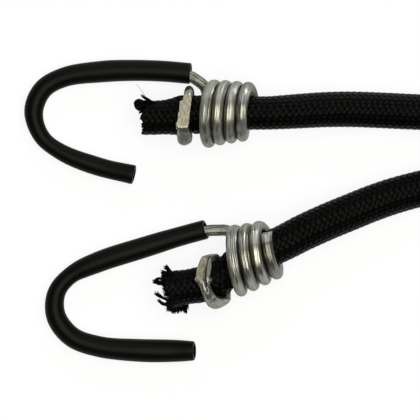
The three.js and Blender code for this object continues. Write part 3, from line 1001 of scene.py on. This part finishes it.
def ring_mesh(name, points, straight, looks, stain):
    """A closed ring of faces over a grid of points, black where deep shade is painted."""
    step, side = np.meshgrid(np.arange(RING_STEPS), np.arange(RING_SIDES), indexing="ij")
    next_step, next_side = (step + 1) % RING_STEPS, (side + 1) % RING_SIDES
    corners = [(step, side), (next_step, side), (next_step, next_side), (step, next_side)]
    quads = np.stack([a * RING_SIDES + b for a, b in corners], axis=2).reshape(-1, 4)
    mesh = bpy.data.meshes.new(name)
    mesh.from_pydata(points, [], quads.tolist())
    mesh.attributes.new("straight", "FLOAT_VECTOR", "POINT").data.foreach_set("vector", straight.ravel())
    for label, values in looks.items():
        mesh.attributes.new(label, "FLOAT", "POINT").data.foreach_set("value", values.ravel())
    mesh.shade_smooth()
    mesh.set_sharp_from_angle(angle=math.radians(CREASE))
    mesh.materials.append(CRUSHED)
    mesh.materials.append(PAINTED_SHADE_ZINC)
    black = stain.ravel()[quads].mean(axis=1) > PAINTED_BLACK_FROM
    mesh.polygons.foreach_set("material_index", black.astype(np.int32))
    return mesh


def crushed_ring(key):
    """A wire ring bent round the tail, its front crushed flat with pliers."""
    ring = RING[key]
    turn = np.linspace(0, 2 * np.pi, RING_STEPS, endpoint=False)[:, None]
    around = np.linspace(0, 2 * np.pi, RING_SIDES, endpoint=False)[None, :]
    degrees = np.degrees(turn)
    left, right, power = (by_angle(ring[k], degrees) for k in ("left", "right", "round"))
    cos, sin = np.cos(around), np.sin(around)
    axial = np.where(cos < 0, left, right) * np.sign(cos) * np.abs(cos) ** power
    out = RING_WIRE_R * np.sign(sin) * np.abs(sin) ** power
    along = ring["radius"] * turn + 0 * axial
    dented = window(degrees, *ring["dents"], DENT_EDGE) * (out > 0)
    out = out - dented * DENT_DEPTH * np.maximum(rough(axial, along, *DENT_NOISE), 0)

    y, rise = (ring["radius"] + out) * np.cos(turn), (ring["radius"] + out) * np.sin(turn)
    y = y - TOP_PRESSED * np.maximum(y - ring["top"] + ring["top_slope"] * axial, 0)
    tilt = math.radians(ring["tilt"])
    over = np.maximum(y * math.sin(tilt) + rise * math.cos(tilt) - ring["face"], 0)
    crush = ease(over / FACE_EDGE)
    drop = over - crush * sum(depth * rough(axial, y, *wave) for depth, *wave in FACE_WAVES)
    seam = np.zeros_like(over)
    if ring["seam"]:
        middle, half, depth, first, last = ring["seam"]
        front = window(degrees, first, last, SEAM_EDGE) * (out > 0)
        seam = front * np.exp(-((axial - middle) / half) ** 2)
        crush = crush * np.where(axial > middle, FLAP_CRUSH, 1)
        drop = drop + seam * depth
    y, rise = y - drop * math.sin(tilt), rise - drop * math.cos(tilt)

    lean = ring["radius"] * (ring["lean"] * np.sin(turn) + ring["skew"] * np.cos(turn))
    x = ring["centre"][0] + axial - lean
    local = np.stack([x, ring["centre"][1] + y, AXIS_Z + rise], axis=2).reshape(-1, 3)
    straight = np.stack([axial, out, along], axis=2) * MM
    # Painted shade: darker at the angles given round the ring, in patches.
    stain = by_angle(ring["stain"], degrees) * (PAINTED_SHADE_EVEN + PAINTED_SHADE_SPOTS * rough(axial, along, *PAINTED_SHADE_NOISE))
    looks = {"crush": crush, "dark": np.clip(np.maximum(seam, stain), 0, 1)}
    return ring_mesh("ring_" + key, place(key, local) * MM, straight, looks, stain)


def make_ring(key):
    ring = piece("ring_" + key, [crushed_ring(key)])
    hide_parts("clamp_ring_" + key)
    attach(ring, "end_" + key)


def make_cord():
    line, marks = whole_cord()
    longer, radii = cord_route(line, marks)
    path = route("cord_route", [longer], radii)
    stretches = {
        "a": (HOOK["a"]["cut"], marks["bight_a"], HOOK["a"]["ragged"]),
        "bight": (marks["bight_a"], marks["bight_b"], 0.0),
        "b": (marks["end"] - HOOK["b"]["cut"], marks["bight_b"], HOOK["b"]["ragged"]),
    }
    for name, (start, stop, ragged) in stretches.items():
        jacket, core = cord_stretch(name, path, start, stop, ragged)
        nodes = ["bight"] if name == "bight" else ["end_" + name, "run_" + name]
        for node in nodes:
            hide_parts("jacket_" + node)
            for number in range(STRANDS):
                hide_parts(f"strand_{number + 1}_{node}")
        for part in (jacket, core):
            if name == "bight":
                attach(part, "cord")
            else:
                bend = at_lengths(line, [marks["bight_" + name], marks["exit_" + name]]) * MM
                "end_" + name
                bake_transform(part)
        low, high = sorted((start, stop))
        places = np.linspace(low, high, round((high - low) / PATH_STEP))
        middle = at_lengths(line, places) * MM
        leaves = middle[0] if name == "bight" else JOINTS["swivel_" + name]["pos_m"]
        on_it = [core] if name == "bight" else [core, make_fray(name, path, start)]
        (high - low) * MM
    removed(path)


def hook_route(key, points):
    line = spaced(place(key, smooth_line(points)), ROUTE_STEP)
    return route("hook_route", [line]), lengths_along(line)[-1]


def make_hook(key):
    hook = HOOK[key]
    covered, whole = hook_points(key)
    wire_path, wire_length = hook_route(key, whole)
    sleeve_path, sleeve_length = hook_route(key, covered)
    wire_section = rod_section(SLEEVE_OVERHANG, wire_length, WIRE_R, WIRE_STEP, WIRE_EDGE)
    outward = coil_points(key)[-1] - np.array((0, 0, AXIS_Z))
    outward = place(key, [(0, *outward[1:])])[0] - place(key, [(0, 0, 0)])[0]
    wire = turned("wire_" + key, wire_section, wire_path, WIRE_SIDES, ZINC, slant=hook["wire_slant"],
                  up=unit(outward))
    sleeve_section = tube_section(sleeve_length, hook["sleeve"], SLEEVE_WALL, SLEEVE_STEP, SLEEVE_EDGE)
    sleeve = turned("sleeve_" + key, sleeve_section, sleeve_path, SLEEVE_SIDES, VINYL,
                    slant=hook["mouth_slant"])
    for mesh, slot, node in ((wire, "zinc_wire", "hook_wire_"), (sleeve, "vinyl", "hook_sleeve_")):
        part = piece(mesh.name, [mesh])
        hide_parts(node + key)
        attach(part, "hook_" + key)
    removed(wire_path, sleeve_path)


def floor_material():
    """Pale and matt, and near white to the camera and in reflections, with the shadows kept."""
    look = Surface("pale table", FLOOR_COLOR, 0.9, specular=0.0)
    path = look.add("ShaderNodeLightPath")
    seen = Field(look, path.outputs["Is Camera Ray"])
    for ray in ("Is Glossy Ray", "Is Transmission Ray"):
        seen = look.math("MAXIMUM", seen, Field(look, path.outputs[ray]))
    white = look.add("ShaderNodeEmission", {"Color": (1, 1, 1, 1), "Strength": 1.0})
    mix = look.add("ShaderNodeMixShader")
    look.feed(mix.inputs[0], seen * FLOOR_WHITE)
    look.feed(mix.inputs[1], Field(look, look.shader.outputs[0]))
    look.feed(mix.inputs[2], Field(look, white.outputs[0]))
    look.feed(look.tree.nodes["Material Output"].inputs["Surface"], Field(look, mix.outputs[0]))
    return look.material


def make_table():
    """A wide pale floor that ends in a low pale wall, far from the part."""
    turn = np.linspace(0, 2 * np.pi, WALL_SIDES, endpoint=False)
    rim = np.stack([np.cos(turn), np.sin(turn)], axis=1) * WALL_R
    low, high = (np.column_stack([rim, np.full(WALL_SIDES, z)]) for z in (FLOOR_Z, WALL_HEIGHT))
    after = [(i + 1) % WALL_SIDES for i in range(WALL_SIDES)]
    wall = [(j, i, i + WALL_SIDES, j + WALL_SIDES) for i, j in enumerate(after)]
    mesh = bpy.data.meshes.new("table")
    mesh.from_pydata(np.vstack([low, high]), [], [tuple(range(WALL_SIDES)), *wall])
    table = linked(bpy.data.objects.new("table", mesh))
    table.data.materials.append(floor_material())


def softbox(name, where, size, power, color):
    lamp = bpy.data.lights.new(name, "AREA")
    lamp.shape = "RECTANGLE"
    lamp.size, lamp.size_y = size
    lamp.energy = power
    lamp.color = color
    obj = linked(bpy.data.objects.new(name, lamp))
    obj.location = where
    aim = Vector(PICTURE_CENTRE) * MM - Vector(where)
    obj.rotation_mode = "QUATERNION"
    obj.rotation_quaternion = aim.to_track_quat("-Z", "Y")
    obj.visible_camera = False


def make_light():
    world = bpy.data.worlds.new("room")
    bpy.context.scene.world = world
    world.use_nodes = True
    room = world.node_tree.nodes["Background"]
    room.inputs["Color"].default_value = (*ROOM_COLOR, 1)
    room.inputs["Strength"].default_value = ROOM_STRENGTH
    for name, lamp in LAMPS.items():
        softbox(name, *lamp)
    bpy.context.scene.view_settings.view_transform = "Standard"


camera_over_table()
make_cord()
for end in ENDS:
    make_hook(end)
    make_ring(end)
make_table()
make_light()
